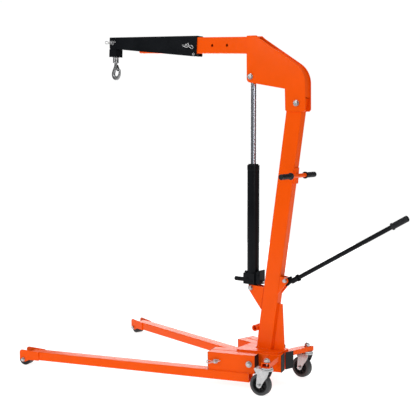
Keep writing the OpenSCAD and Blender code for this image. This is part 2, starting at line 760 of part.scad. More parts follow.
// Cast block at the ram's foot: pump boss towards the mast, valve in front, lug below
block_front = 36;
boss_end = 52;
valve_z = 33;
module pump_block()
  color([0.08, 0.08, 0.09]) ram_frame()
    difference() {
      union() {
        block([-block_front, -30, pump_z0], [boss_end - 26, 30, pump_z1]);
        plate_y([[boss_end - 28, 20], [boss_end, 20], [boss_end, 86], [boss_end - 8, 86],
                 [boss_end - 26, pump_z1], [boss_end - 28, pump_z1]], -22, 22);
        block([-17, -lug_w / 2, 0], [17, lug_w / 2, pump_z0]);
        rod_y(17, -lug_w / 2, lug_w / 2);
      }
      rod_y(ram_bolt_r + run, -40, 40);
      translate([0, 0, pump_z1]) cylinder(r = cylinder_d / 2 + 0.02, h = 30, $fn = 96);
      rod_x(push_r + 3, boss_end - 32, boss_end + 10, plunger_z);
      rod_x(6 + run, -block_front - 10, -block_front + 14, valve_z);
    }

// Release valve: a knurled knob in front of the pump block
module release_valve()
  color([0.16, 0.17, 0.18]) ram_frame()
    union() {
      rod_x(6, -block_front - 14, -block_front + 13, valve_z);
      rod_x(10, -block_front - 66, -block_front - 4, valve_z);
    }

// Piston rod with its piston and top eye. The eye is a wide slot, because the top bolt is
// where the ram's linkage is opened.
slot_front = 13.6;
slot_back = 23;
slot_low = 12.6;
slot_high = 8;
module ram_rod()
  color([0.75, 0.77, 0.8]) ram_frame()
    difference() {
      union() {
        translate([0, 0, 300]) cylinder(r = rod_d / 2, h = ram_l - slot_low - 4 - 300, $fn = 96);
        translate([0, 0, 300]) cylinder(r = cylinder_d / 2 - 5 - run, h = 26, $fn = 96);
        block([-slot_front - 3, -head_in + 2, ram_l - slot_low - 5],
              [slot_back + 4, head_in - 2, ram_l + slot_high + 4]);
      }
      block([-slot_front, -60, ram_l - slot_low], [slot_back, 60, ram_l + slot_high]);
    }

// ---------- pump lever ----------

handle_r = 10;
socket_start = 20;
module pump_lever()
  color([0.1, 0.1, 0.11])
    difference() {
      union() {
        placed() rod_y(12.5, -lug_w / 2, lug_w / 2, lever_x, lever_z);
        placed() rod_y(roller_tip_r, -8, 8, lever_x, rod_z);
        placed() block([lever_x - 2, -8, rod_z], [lever_x + 12, 8, lever_z]);
        lever_frame() block([0, -9, -handle_drop - 7], [socket_start + 4, 9, 8]);
        lever_frame() rod_x(12.5, socket_start, socket_l - 5, -handle_drop);
        lever_frame() rod_x(16, socket_l - 8, socket_l, -handle_drop);
      }
      placed() rod_y(ram_bolt_r + run, -40, 40, lever_x, lever_z);
      lever_frame() rod_x(handle_r + run, socket_start + 11.5, socket_l + 5, -handle_drop);
    }

// Rod that carries the lever's stroke through the mast into the pump block
module push_rod()
  color([0.7, 0.71, 0.73]) placed()
    rod_x(push_r, -ram_foot_x + 36, lever_x - roller_tip_r - 1, rod_z);

module pump_handle()
  color([0.09, 0.09, 0.1]) lever_frame()
    difference() {
      rod_x(handle_r, socket_l - 30, socket_l - 30 + handle_l - 3, -handle_drop);
      rod_x(handle_r - 2, socket_l - 31, socket_l - 30 + handle_l, -handle_drop);
    }

grip_l = 80;
module handle_grip()
  color([0.13, 0.14, 0.15]) lever_frame()
    let (end = socket_l - 30 + handle_l)
      difference() {
        union() {
          rod_x(13.5, end - grip_l, end, -handle_drop);
          rod_x(grip_d / 2, end - grip_l, end - grip_l + 6, -handle_drop);
          rod_x(grip_d / 2, end - 5, end, -handle_drop);
        }
        rod_x(handle_r, end - grip_l - 1, end - 3, -handle_drop);
      }

base_tube_left();
base_tube_right();
base_caps();
deck_plate();
cross_webs();
caster_arms();
mast();
mast_gusset();
mast_lugs();
handle_holder();
mast_bush();
push_bar();
push_grips();
mast_bolt();
bracket_bolts();
leg_bolts();
caster_stems();
caster_fork_left();
caster_fork_right();
caster_axle_left();
caster_axle_right();
caster_wheel_left();
caster_wheel_right();
caster_hub_left();
caster_hub_right();
leg_tube_left();
leg_tube_right();
leg_bracket_left();
leg_bracket_right();
bracket_caps_left();
bracket_caps_right();
roller_cheeks_left();
roller_cheeks_right();
roller_axle_left();
roller_axle_right();
front_roller_left();
front_roller_right();
leg_pin_left();
leg_pin_right();
boom_tube();
head_plates();
head_strip();
ram_top_bolt();
extension_sleeve();
sleeve_bolt();
hook_block();
extension_pin();
tip_pin();
hook_swivel();
hook();
hook_latch();
ram_cylinder();
cylinder_gland();
pump_block();
release_valve();
ram_rod();
pump_lever();
push_rod();
pump_handle();
handle_grip();
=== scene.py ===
import json
import math
from math import cos, pi, radians, sin

import bmesh
import bpy
from mathutils import Matrix, Vector


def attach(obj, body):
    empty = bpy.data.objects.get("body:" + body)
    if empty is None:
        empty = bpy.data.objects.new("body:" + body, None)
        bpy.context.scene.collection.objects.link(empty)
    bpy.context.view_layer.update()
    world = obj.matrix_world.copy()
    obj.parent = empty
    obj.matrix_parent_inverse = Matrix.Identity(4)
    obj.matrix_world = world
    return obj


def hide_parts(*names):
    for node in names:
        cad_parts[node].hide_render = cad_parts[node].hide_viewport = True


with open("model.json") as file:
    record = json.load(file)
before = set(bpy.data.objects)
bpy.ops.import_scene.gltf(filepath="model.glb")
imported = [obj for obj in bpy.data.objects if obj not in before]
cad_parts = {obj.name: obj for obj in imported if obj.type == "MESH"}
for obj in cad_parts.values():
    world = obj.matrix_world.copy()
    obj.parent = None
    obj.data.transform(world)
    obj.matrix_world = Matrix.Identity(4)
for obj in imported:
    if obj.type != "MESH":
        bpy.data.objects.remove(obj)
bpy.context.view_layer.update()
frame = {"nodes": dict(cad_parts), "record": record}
NODES = frame["nodes"]
BODY_OF = {n: b for b, ns in frame["record"]["behaviour"]["bodies"].items() for n in ns}
SLOT_OF = {s["node"]: s["material_slot"] for s in frame["record"]["subparts"]}
SIDES = ("left", "right")


# ---------- frames of the sub-assemblies, local millimetres to metres ----------

def move(x, y, z):
    return Matrix.Translation((x, y, z))


def turn(a, axis="Y"):
    return Matrix.Rotation(radians(a), 4, axis)


def flip(axis):
    return Matrix.Scale(-1, 4, {"X": (1, 0, 0), "Y": (0, 1, 0)}[axis])


MM = Matrix.Scale(0.001, 4)
SHIFT = 340.3452                      # from the part's own x = 0 to the shared frame's
PLACED = MM @ move(SHIFT, 0, 0)
AXIS = {"x": turn(90), "y": turn(-90, "X"), "z": Matrix.Identity(4)}   # turn z onto an axis

BOOM_TILT, BOOM_POINT = 3.7, (-268, 0, 1576)
MAST_TILT, MAST_FOOT_Z, MAST_D = 8.65, 166, 80
PIVOT_X, PIVOT_Z, PIVOT_BACK = 94, 1297.5, 12.8   # the boom's bolt, and its place behind the mast's middle line
RAM_FOOT, RAM_RUN, RAM_RISE = (-160, 0, 446), 10, 979.5
LEVER_PIVOT, LEVER_TILT = (29, 0, 497.5), -29.6
LEG_Y, LEG_TURN = -91, 194.8          # the splayed leg's start and its turn about z
CASTER_TURN = -9.8                    # the caster's turn against its leg
BLOCK_X, BLOCK_Z = 738, -79           # the hook's swivel, along and below the boom's middle line
WHEEL_X, WHEEL_Z = 31, 50             # the caster's axle behind its stem and above the floor
ROLLER_X, ROLLER_Z = 1315, 32         # the front roller's axle along the leg and above the floor
LOCK_X, LEG_BOLT_Z = 262, 117.5       # the leg's lock pin along the leg, and the height of pin and bolt
HANDLE_DROP = -14.5                   # the handle's middle line below the lever's pivot

BOOM = PLACED @ move(*BOOM_POINT) @ turn(BOOM_TILT) @ flip("X")
RAM = PLACED @ move(*RAM_FOOT) @ turn(math.degrees(math.atan2(RAM_RUN, RAM_RISE)))
LEVER = PLACED @ move(*LEVER_PIVOT) @ turn(LEVER_TILT)
HOOK = PLACED @ move(*BOOM_POINT) @ turn(BOOM_TILT) @ move(-BLOCK_X, 0, BLOCK_Z) @ turn(-BOOM_TILT)
MAST_S, MAST_C = sin(radians(MAST_TILT)), cos(radians(MAST_TILT))
MAST_L = (PIVOT_Z - MAST_FOOT_Z + PIVOT_BACK * MAST_S) / MAST_C
MAST_X = PIVOT_X - PIVOT_BACK * MAST_C - MAST_L * MAST_S
MAST = PLACED @ move(MAST_X, 0, MAST_FOOT_Z) @ turn(MAST_TILT)


def side_of(s):
    return PLACED @ (flip("Y") if s == "right" else Matrix.Identity(4))


LEG = {s: side_of(s) @ move(0, LEG_Y, 0) @ turn(LEG_TURN, "Z") for s in SIDES}
CASTER = {s: LEG[s] @ move(-8, 89.5, 0) @ turn(CASTER_TURN, "Z") for s in SIDES}


# ---------- materials ----------

def material(name, color, rough, metal=0.0, coat=0.0, coat_rough=0.05, tint=0.05, tint_scale=9.0,
             grain=None, grain_depth=0.02, smudge=0.05, smudge_scale=14.0, spec=0.5,
             spec_tint=(1, 1, 1), dirt=None):
    """A procedural finish. color varies by tint over large soft patches, roughness by smudge, and
    grain = (scale, detail) adds a bump. dirt = (color, amount, scale) adds small irregular flecks."""
    m = bpy.data.materials.new(name)
    m.use_nodes = True
    nt = m.node_tree
    n, l = nt.nodes, nt.links
    b = n["Principled BSDF"]
    b.inputs["Metallic"].default_value = metal
    b.inputs["Specular IOR Level"].default_value = spec
    b.inputs["Specular Tint"].default_value = (*spec_tint, 1)
    b.inputs["Coat Weight"].default_value = coat
    b.inputs["Coat Roughness"].default_value = coat_rough
    coords = n.new("ShaderNodeTexCoord")

    def noise(scale, detail, rough_=0.5):
        t = n.new("ShaderNodeTexNoise")
        t.inputs["Scale"].default_value = scale
        t.inputs["Detail"].default_value = detail
        t.inputs["Roughness"].default_value = rough_
        l.new(coords.outputs["Object"], t.inputs["Vector"])
        return t.outputs["Fac"]

    def ramp(value, low, high, to_low, to_high):
        r = n.new("ShaderNodeMapRange")
        r.inputs["From Min"].default_value = low
        r.inputs["From Max"].default_value = high
        r.inputs["To Min"].default_value = to_low
        r.inputs["To Max"].default_value = to_high
        l.new(value, r.inputs["Value"])
        return r.outputs["Result"]

    def mix(factor, a, c):
        x = n.new("ShaderNodeMix")
        x.data_type = "RGBA"
        l.new(factor, x.inputs["Factor"])
        for socket, v in ((x.inputs["A"], a), (x.inputs["B"], c)):
            if isinstance(v, tuple):
                socket.default_value = (*v, 1)
            else:
                l.new(v, socket)
        return x.outputs["Result"]

    dark = tuple(c * (1 - tint) for c in color)
    light = tuple(min(1, c * (1 + tint) + tint * 0.01) for c in color)
    base = mix(ramp(noise(tint_scale, 4, 0.6), 0.3, 0.7, 0, 1), dark, light)
    rough_out = ramp(noise(smudge_scale, 6, 0.65), 0.3, 0.7, max(0.02, rough - smudge), min(1, rough + smudge))
    if dirt:
        fleck = ramp(noise(dirt[2], 8, 0.75), 0.62, 0.7, 0, dirt[1])
        base = mix(fleck, base, dirt[0])
    l.new(base, b.inputs["Base Color"])
    l.new(rough_out, b.inputs["Roughness"])
    if grain:
        bump = n.new("ShaderNodeBump")
        bump.inputs["Strength"].default_value = 0.6
        bump.inputs["Distance"].default_value = grain_depth * 0.001
        l.new(noise(grain[0], grain[1]), bump.inputs["Height"])
        l.new(bump.outputs["Normal"], b.inputs["Normal"])
        l.new(bump.outputs["Normal"], b.inputs["Coat Normal"])
    return m


MATS = {
    "orange": material(
        "orange_powder_coat", (0.87, 0.086, 0.0004), 0.4, spec=0.12, spec_tint=(1, 0.4, 0.1), coat=0.16,
        coat_rough=0.16, tint=0.035, grain=(900, 2), grain_depth=0.12, dirt=((0.62, 0.05, 0.002), 0.35, 240)),
    "black_paint": material(
        "black_gloss_paint", (0.0035, 0.0045, 0.006), 0.34, spec=0.08, coat=0.05, coat_rough=0.12, tint=0.18,
        grain=(1100, 2), grain_depth=0.1, smudge=0.07, dirt=((0.02, 0.02, 0.023), 0.5, 320)),
    "black_plastic": material(
        "black_moulded_plastic", (0.007, 0.007, 0.008), 0.5, spec=0.2, tint=0.12, grain=(2600, 3),
        grain_depth=0.1, smudge=0.05),
    "roller_plastic": material(
        "dark_nylon", (0.01, 0.01, 0.011), 0.45, spec=0.25, tint=0.2, grain=(1800, 4), grain_depth=0.12,
        dirt=((0.06, 0.055, 0.05), 0.5, 160)),
    "grip_rubber": material(
        "ribbed_rubber", (0.009, 0.01, 0.012), 0.45, spec=0.2, coat=0.1, tint=0.15, grain=(2200, 4),
        grain_depth=0.15, dirt=((0.05, 0.05, 0.052), 0.5, 260)),
    "tread": material(
        "tyre_rubber", (0.045, 0.046, 0.048), 0.6, tint=0.15, grain=(1500, 5), grain_depth=0.2,
        dirt=((0.1, 0.095, 0.09), 0.45, 190)),
    "zinc": material(
        "zinc_plate", (0.5, 0.505, 0.51), 0.3, metal=1.0, tint=0.12, tint_scale=60, grain=(1300, 3),
        grain_depth=0.06, smudge=0.1, smudge_scale=90, dirt=((0.36, 0.36, 0.35), 0.5, 420)),
    "forged": material(
        "forged_zinc", (0.3, 0.305, 0.31), 0.36, metal=1.0, tint=0.16, tint_scale=70, grain=(900, 4),
        grain_depth=0.12, smudge=0.1, smudge_scale=90, dirt=((0.16, 0.16, 0.155), 0.6, 300)),
    "bush_steel": material(
        "machined_steel", (0.5, 0.5, 0.51), 0.35, metal=1.0, tint=0.08, grain=(900, 3), grain_depth=0.05),
    "chrome_rod": material(
        "hard_chrome", (0.62, 0.66, 0.74), 0.17, metal=1.0, tint=0.03, tint_scale=5, smudge=0.03,
        smudge_scale=6),
}


# ---------- mesh helpers ----------

def add(name, bm, slot, body, nodes=(), local=None, sharp=35, finish=None):
    """A finished piece from a bmesh. local is the frame it was drawn in, where that is not the shared one."""
    if local is not None:
        bm.transform(local)
    bmesh.ops.recalc_face_normals(bm, faces=bm.faces)
    for e in bm.edges:
        if len(e.link_faces) == 2 and e.calc_face_angle(0) > radians(sharp):
            e.smooth = False
    me = bpy.data.meshes.new(name)
    bm.to_mesh(me)
    bm.free()
    for p in me.polygons:
        p.use_smooth = True
    o = bpy.data.objects.new(name, me)
    bpy.context.scene.collection.objects.link(o)
    me.materials.append(MATS[finish or slot])
    w = o.modifiers.new("weighted", "WEIGHTED_NORMAL")
    w.keep_sharp = True
    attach(o, body)
    if nodes:
        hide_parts(*nodes)
    return o


def merge(bm, other, matrix=None):
    if matrix is not None:
        other.transform(matrix)
    me = bpy.data.meshes.new("tmp")
    other.to_mesh(me)
    other.free()
    bm.from_mesh(me)
    bpy.data.meshes.remove(me)


def joined(*pieces):
    bm = bmesh.new()
    for p in pieces:
        merge(bm, p)
    return bm


def several(*moved):
    """Pieces, each moved by its own matrix, as one mesh in metres."""
    bm = bmesh.new()
    for piece, matrix in moved:
        merge(bm, piece, matrix)
    return bm


def bevel(bm, edges, width, segments=2):
    if edges:
        bmesh.ops.bevel(bm, geom=edges, offset=width, offset_type="OFFSET", segments=segments, profile=0.5,
                        affect="EDGES", clamp_overlap=True)


def from_node(node):
    bm = bmesh.new()
    bm.from_mesh(NODES[node].data)
    bmesh.ops.remove_doubles(bm, verts=bm.verts, dist=2e-6)
    bmesh.ops.dissolve_limit(bm, angle_limit=radians(0.6), verts=bm.verts, edges=bm.edges)
    return bm


def refine(node, local=None, axis=None, radius=0.0, small=0.0007, finish=None):
    """A CAD node with rounded edges: radius on the long convex edges along the local axis, small on the others."""
    bm = from_node(node)
    if axis is not None:
        d = (local.to_3x3() @ Vector(axis)).normalized()
        bevel(bm, [e for e in bm.edges if e.is_manifold and e.is_convex and e.calc_face_angle(0) > radians(50)
                   and e.calc_length() > 0.012
                   and abs((e.verts[1].co - e.verts[0].co).normalized().dot(d)) > 0.9995], radius, 4)
    bevel(bm, [e for e in bm.edges if e.is_manifold and e.calc_face_angle(0) > radians(32)], small)
    return add(node + "_finish", bm, SLOT_OF[node], BODY_OF[node], (node,), finish=finish)


# ---------- plates and tubes kept from the CAD, with rounded edges ----------

ALONG_X, ALONG_Z = (1, 0, 0), (0, 0, 1)
for s in SIDES:
    refine("base_tube_" + s, LEG[s], ALONG_X, 0.005)
    refine("leg_tube_" + s, LEG[s], ALONG_X, 0.004)
    refine("leg_bracket_" + s, LEG[s], ALONG_X, 0.004)
    refine("roller_cheeks_" + s, small=0.0009)
    refine("bracket_caps_" + s, small=0.0014)
    refine("caster_fork_" + s, small=0.0008)
refine("mast", MAST, ALONG_Z, 0.005)
refine("boom_tube", BOOM, ALONG_X, 0.005)
refine("extension_sleeve", BOOM, ALONG_X, 0.003)
for node in ("base_caps", "deck_plate", "cross_webs", "caster_arms", "mast_gusset", "mast_lugs",
             "handle_holder", "push_bar", "head_strip", "hook_block", "pump_block", "pump_lever"):
    refine(node)
refine("head_plates", small=0.0022)


# ---------- turned, swept and threaded shapes ----------

def rounded(points, r, n=3, closed=True):
    """A polygon or polyline in a plane with its corners rounded."""
    out, k = [], len(points)
    for i, p in enumerate(points):
        p = Vector(p)
        if not closed and i in (0, k - 1):
            out.append(tuple(p))
            continue
        a, c = Vector(points[i - 1]) - p, Vector(points[(i + 1) % k]) - p
        cut = min(r / math.tan(max(0.05, a.angle(c) / 2)), a.length * 0.45, c.length * 0.45)
        a, c = a.normalized() * cut, c.normalized() * cut
        for j in range(n + 1):
            t = j / n
            out.append(tuple((p + a) * (1 - t) ** 2 + p * 2 * t * (1 - t) + (p + c) * t * t))
    return out


def lathe(profile, n=64, closed=False, radius=None):
    """A solid turned about z from (r, z) points. radius(angle, r, z) can vary it round the turn."""
    bm = bmesh.new()
    rings = []
    for r, z in profile:
        if r < 1e-6:
            rings.append([bm.verts.new((0, 0, z))])
            continue
        circle = []
        for i in range(n):
            a = 2 * pi * i / n
            q = radius(a, r, z) if radius else r
            circle.append(bm.verts.new((q * cos(a), q * sin(a), z)))
        rings.append(circle)
    for a, b in list(zip(rings, rings[1:])) + ([(rings[-1], rings[0])] if closed else []):
        for i in range(n):
            j = (i + 1) % n
            f = ([a[0]] if len(a) == 1 else [a[i], a[j]]) + ([b[0]] if len(b) == 1 else [b[j], b[i]])
            if len(f) > 2:
                bm.faces.new(f)
    return bm


def ring(r_in, r_out, z0, z1, soft=0.5, n=64):
    return lathe(rounded([(r_in, z0), (r_out, z0), (r_out, z1), (r_in, z1)], soft, 2), n, closed=True)


def disc(r, z0, z1, soft=0.6, n=64):
    side = rounded([(0, z0), (r, z0), (r, z1), (0, z1)], soft, 3, closed=False)[1:-1]
    return lathe([(0, z0)] + side + [(0, z1)], n)


def hexagon(flats, z0, z1, up=1):
    """A hexagon head or nut whose corners are cut by a cone on the side up points to."""
    h = flats / 2
    wide = 9e3                        # beyond any flat, so that radius() decides
    top, bottom = (z1, z0) if up > 0 else (z0, z1)
    drops = (0.11, 0.085, 0.06, 0.035, 0.012, 0)
    profile = [(0, bottom), (wide, bottom)] + [(wide, top - up * d * flats) for d in drops] + [(0, top)]

    def radius(a, r, z):
        flat = h / cos((a % (pi / 3)) - pi / 6)
        return min(flat, h * 0.93 + abs(top - z) * 1.85) if abs(top - z) < 0.2 * flats else flat

    return lathe(profile, 48, radius=radius)


def thread(r, z0, z1):
    """The rolled end of a bolt, as rings, with a chamfered tip."""
    k = max(2, round(abs(z1 - z0) / 1.6))
    pts = [(0, z0)]
    for i in range(k):
        z = z0 + (z1 - z0) * i / k
        pts += [(r * 0.9, z), (r, z + (z1 - z0) / k * 0.5)]
    return lathe(pts + [(r * 0.88, z1), (0, z1)], 32)


def bolt_y(r, y0, y1, flats, x=0, z=0):
    """A cross bolt along y with washers, a head at y0 and a lock nut at y1."""
    w = flats * 0.62
    bm = joined(ring(r, w, -2.5 + y0, y0, 0.7), hexagon(flats, y0 - 10, y0 - 2.5, -1),
                disc(r, y0 - 3, y1 + 3, 0.2, 48), ring(r, w, y1, y1 + 2.5, 0.7),
                hexagon(flats, y1 + 2.5, y1 + 8, 1), ring(r, flats * 0.47, y1 + 7.6, y1 + 10, 0.9),
                thread(r, y1 + 3, y1 + 12))
    bm.transform(move(x, 0, z) @ AXIS["y"])
    return bm


def smooth_path(points, step):
    """Points of a Catmull-Rom curve through points of any dimension, about step apart."""
    out = []
    P = [Vector(p) for p in points]
    P = [P[0] * 2 - P[1]] + P + [P[-1] * 2 - P[-2]]
    for i in range(1, len(P) - 2):
        a, b, c, d = P[i - 1:i + 3]
        k = max(1, round((c - b).length / step))
        for j in range(k):
            t = j / k
            out.append(0.5 * (2 * b + (c - a) * t + (2 * a - 5 * b + 4 * c - d) * t * t
                              + (3 * b - 3 * c + d - a) * t ** 3))
    return out + [P[-2]]


def circle_of(r, n):
    return [(r * cos(2 * pi * j / n), r * sin(2 * pi * j / n)) for j in range(n)]


def sweep(path, section):
    """A closed bar along a path. section(i) gives the ring of (u, v) at point i, u in the plane of the bend."""
    bm = bmesh.new()
    k = len(path)
    rings, side = [], None
    for i, p in enumerate(path):
        t = (path[min(i + 1, k - 1)] - path[max(i - 1, 0)]).normalized()
        if side is None:
            side = t.cross(Vector((0, 1, 0)))
            side = side if side.length > 0.1 else t.cross(Vector((1, 0, 0)))
        side = (side - t * side.dot(t)).normalized()
        other = t.cross(side)
        rings.append([bm.verts.new(p + side * u + other * v) for u, v in section(i)])
    n = len(rings[0])
    for a, b in zip(rings, rings[1:]):
        for i in range(n):
            bm.faces.new((a[i], a[(i + 1) % n], b[(i + 1) % n], b[i]))
    bm.faces.new(rings[0])
    bm.faces.new(rings[-1])
    return bm


def wire(points, r):
    """A round wire through points, its two ends tapered."""
    path = smooth_path(points, 1.5)
    last = len(path) - 1
    return sweep(path, lambda i: circle_of(r * (1, 0.9, 0.55)[max(0, 2 - min(i, last - i))], 12))


def bead(name, points, r, body, local=PLACED):
    """A weld bead along a polyline: a half round with the ripples of the torch."""
    pts = [Vector(p) for p in points]
    path = []
    for a, b in zip(pts, pts[1:]):
        k = max(2, round((b - a).length / 1.1))
        path += [a.lerp(b, j / k) for j in range(k)]
    path.append(pts[-1])

    def section(i):
        q = r * (1 + 0.13 * sin(i * 2.1) + 0.06 * sin(i * 0.37 + 1))
        return circle_of(q * (0.4 if i in (0, len(path) - 1) else 1), 9)

    return add("weld_" + name, sweep(path, section), "orange", body, local=local, sharp=180)


CLIP = [(-28, 0), (-9, 0), (9, 0), (26, 0), (35, 0.6), (40.8, 3.2), (43, 7.4), (40.8, 12), (34.6, 14), (26, 10.6),
        (16.5, 5.2), (10.5, 6.2), (5, 9.4), (-4.5, 9.4), (-10.5, 6.2), (-15.5, 5.2), (-20.5, 8)]


def clip(lean, y):
    """The R-shaped spring clip through a pin's end."""
    bm = wire([(x, 0, z) for x, z in CLIP], 1.7)
    bm.transform(move(0, y, 0) @ turn(lean))
    return bm


def stub(r, y0, y1, tip=1.6, n=48):
    """A plain round length along y with chamfered ends."""
    bm = disc(r, y0, y1, tip, n)
    bm.transform(AXIS["y"])
    return bm


def collar(y0, y1):
    """The collar of a lock pin, along y."""
    bm = ring(6.4, 10, y0, y1, 0.8, 48)
    bm.transform(AXIS["y"])
    return bm


# ---------- bolts and pins ----------

add("mast_bolt_set", bolt_y(8, -27, 27, 22, PIVOT_X, PIVOT_Z), "zinc", "base", ("mast_bolt",), PLACED)
add("bracket_bolt_set", joined(bolt_y(6, -20, 20, 19, RAM_FOOT[0], RAM_FOOT[2]),
                               bolt_y(6, -20, 20, 16, LEVER_PIVOT[0], LEVER_PIVOT[2])),
    "zinc", "base", ("bracket_bolts",), PLACED)
add("leg_bolt_set", several(*[(bolt_y(8, -79.5, 23.5, 24, 101, LEG_BOLT_Z), LEG[s]) for s in SIDES]),
    "zinc", "base", ("leg_bolts",))
add("ram_top_bolt_set", bolt_y(6, -26.5, 26.5, 22, RAM_FOOT[0] + RAM_RUN, RAM_FOOT[2] + RAM_RISE),
    "zinc", "boom", ("ram_top_bolt",), PLACED)
add("sleeve_bolt_set", bolt_y(3, -25, 25, 10, 207, -43), "zinc", "extension", ("sleeve_bolt",), BOOM)
for s in SIDES:
    add("roller_axle_set_" + s, bolt_y(6, -34, 34, 17, ROLLER_X, ROLLER_Z), "zinc", "leg_" + s,
        ("roller_axle_" + s,), LEG[s])
    add("caster_axle_set_" + s, bolt_y(6, -21, 21, 13, WHEEL_X, WHEEL_Z), "zinc", "caster_" + s,
        ("caster_axle_" + s,), CASTER[s])
    pin = joined(stub(6.5, -28.8, 43), collar(23.2, 27), stub(6.5, -88.5, -79.8, 1.2), clip(16, 35))
    add("leg_pin_set_" + s, pin, "zinc", "leg_lock_" + s, ("leg_pin_" + s,),
        LEG[s] @ move(LOCK_X, 0, LEG_BOLT_Z))
lock = joined(stub(6.5, -43, -21.3, 1.4), stub(6.5, 21.3, 34, 1.4), collar(-29, -25.2), clip(177, -37))
add("extension_pin_set", lock, "zinc", "extension_lock", ("extension_pin",), BOOM @ move(246.5, 0, -1))
lock = joined(stub(6.5, -43, 34, 1.4), collar(-29, -25.2), clip(8, -37))
add("tip_pin_set", lock, "zinc", "tip_lock", ("tip_pin",), BOOM @ move(BLOCK_X, 0, 12))


# ---------- hook ----------

# x, z, half width in the plane of the bend, half width across it
SPINE = [(0, -2, 8, 6.3), (-1, -16, 7.6, 6.3), (-4, -28, 8, 6.3), (-9.5, -41, 9, 6.4), (-15, -53, 9.8, 6.5),
         (-18, -64, 10, 6.5), (-16, -75, 10.4, 6.5), (-9, -83.5, 10.5, 6.5), (1, -86.6, 10.2, 6.5),
         (11, -84, 9.4, 6.4), (19, -76.5, 7.8, 6.2), (23.2, -67, 6.4, 6), (24.4, -57, 5.2, 5.6),
         (26, -48.5, 3.8, 5), (28, -42.5, 2.2, 3.6)]


def forged_hook():
    knots = smooth_path(SPINE, 2.0)

    def section(i):
        a, b = knots[i][2], knots[i][3]
        return [(a * math.copysign(abs(c) ** 0.8, c), b * math.copysign(abs(s_) ** 0.75, s_))
                for c, s_ in circle_of(1, 24)]

    body = sweep([Vector((k[0], 0, k[1])) for k in knots], section)
    return joined(body, stub(9.5, -6.5, 6.5, 1.6, 64), stub(4.5, -14.5, 14.5, 1.2, 32))


add("forged_hook", forged_hook(), "zinc", "hook_body", ("hook",), HOOK, sharp=50, finish="forged")
refine("hook_latch", small=0.0003, finish="forged")
refine("hook_swivel", small=0.0009)


# ---------- casters and rollers ----------

for s in SIDES:
    wheel = CASTER[s] @ move(WHEEL_X, 0, WHEEL_Z) @ AXIS["y"]
    tyre = lathe(rounded([(36, -14.6), (40, -15.6), (45, -16), (48.6, -14), (50, -9), (50, 9), (48.6, 14),
                          (45, 16), (40, 15.6), (36, 14.6)], 1.6, 3), 128, closed=True)
    for z in (-15.9, 15.9):
        merge(tyre, ring(41, 43, z - 0.5, z + 0.5, 0.4, 128))
    add("tyre_" + s, tyre, "tread", "wheel_" + s, ("caster_wheel_" + s,), wheel)
    hub = lathe(rounded([(6.05, -17.4), (13, -17.4), (14, -16), (14.5, -7), (29, -6), (31, -14), (36, -14.4),
                         (36, 14.4), (31, 14), (29, 6), (14.5, 7), (14, 16), (13, 17.4), (6.05, 17.4)],
                        1.0, 2), 96, closed=True)
    for i in range(8):
        rib = bmesh.new()
        bmesh.ops.create_cube(rib, size=1)
        rib.transform(turn(45 * i, "Z") @ move(22, 0, 0) @ Matrix.Diagonal((17, 2.6, 24, 1)))
        bevel(rib, list(rib.edges), 0.5)
        merge(hub, rib)
    add("hub_" + s, hub, "black_plastic", "wheel_" + s, ("caster_hub_" + s,), wheel)
    race = lathe(rounded([(7, 120.6), (21, 120.6), (24, 118), (27.6, 117.2), (29.2, 119), (28.8, 123.5),
                          (26.8, 125.8), (7, 125.8)], 1.0, 3), 96, closed=True)
    add("caster_race_" + s, race, "zinc", "caster_" + s, (), CASTER[s])
    roller = lathe(rounded([(6.05, -28), (13, -28), (14, -23), (27, -22), (30, -21.5), (32, -18.5), (32, 18.5),
                            (30, 21.5), (27, 22), (14, 23), (13, 28), (6.05, 28)], 1.0, 3), 96, closed=True)
    add("roller_" + s, roller, "roller_plastic", "roller_" + s, ("front_roller_" + s,),
        LEG[s] @ move(ROLLER_X, 0, ROLLER_Z) @ AXIS["y"])

stems = []
for s in SIDES:
    stem = joined(ring(6, 26, 126, 133, 1.6, 96), disc(6, 113, 173, 1.2, 48), disc(11, 113, 120.8, 1.2, 48),
                  ring(6, 16, 155, 157.5, 0.7, 64), hexagon(24, 157.4, 166, 1),
                  ring(6, 11.2, 165.6, 169.4, 1.2, 48), thread(6, 168, 172))
    stems.append((stem, CASTER[s]))
add("caster_stem_set", several(*stems), "zinc", "base", ("caster_stems",))


# ---------- ram ----------

cylinder = lathe(rounded([(0, 70), (30, 70), (30, 74), (28, 77), (28, 551), (28.9, 553), (28.9, 562), (23, 562),
                          (23, 78), (0, 78)], 0.8, 3, closed=False), 128)
add("ram_tube", cylinder, "black_paint", "ram", ("ram_cylinder",), RAM)
gland = lathe(rounded([(13.05, 562), (29, 562), (29, 573), (27.5, 575), (24, 575), (24, 579), (22.5, 580),
                       (16, 580), (15, 578.5), (13.05, 578.5)], 0.5, 2), 128, closed=True)
add("ram_gland", gland, "black_paint", "ram", ("cylinder_gland",), RAM)
refine("ram_rod", small=0.0009)


def knurl(a, r, z):
    return r + (0.35 * math.copysign(1, sin(18 * a)) if 56 < z < 100 and r > 9.5 else 0)


knob = lathe(rounded([(0, 40), (9, 40), (10, 41.5), (10, 100), (8.6, 102), (0, 102)], 0.4, 2, closed=False),
             72, radius=knurl)
merge(knob, disc(6, 23, 41, 0.4, 48))
add("release_knob", knob, "black_paint", "valve", ("release_valve",), RAM @ move(0, 0, 33) @ turn(-90))
add("push_rod_turned", several((disc(6, -124, 21, 1.0, 48), PLACED @ move(0, 0, 477.5) @ AXIS["x"])),
    "zinc", "push", ("push_rod",))
add("mast_bush_turned", several((ring(8.05, 12, -20.3, 20.3, 0.4),
                                 PLACED @ move(PIVOT_X, 0, PIVOT_Z) @ AXIS["y"])),
    "bush_steel", "base", ("mast_bush",))


# ---------- pump block fittings ----------

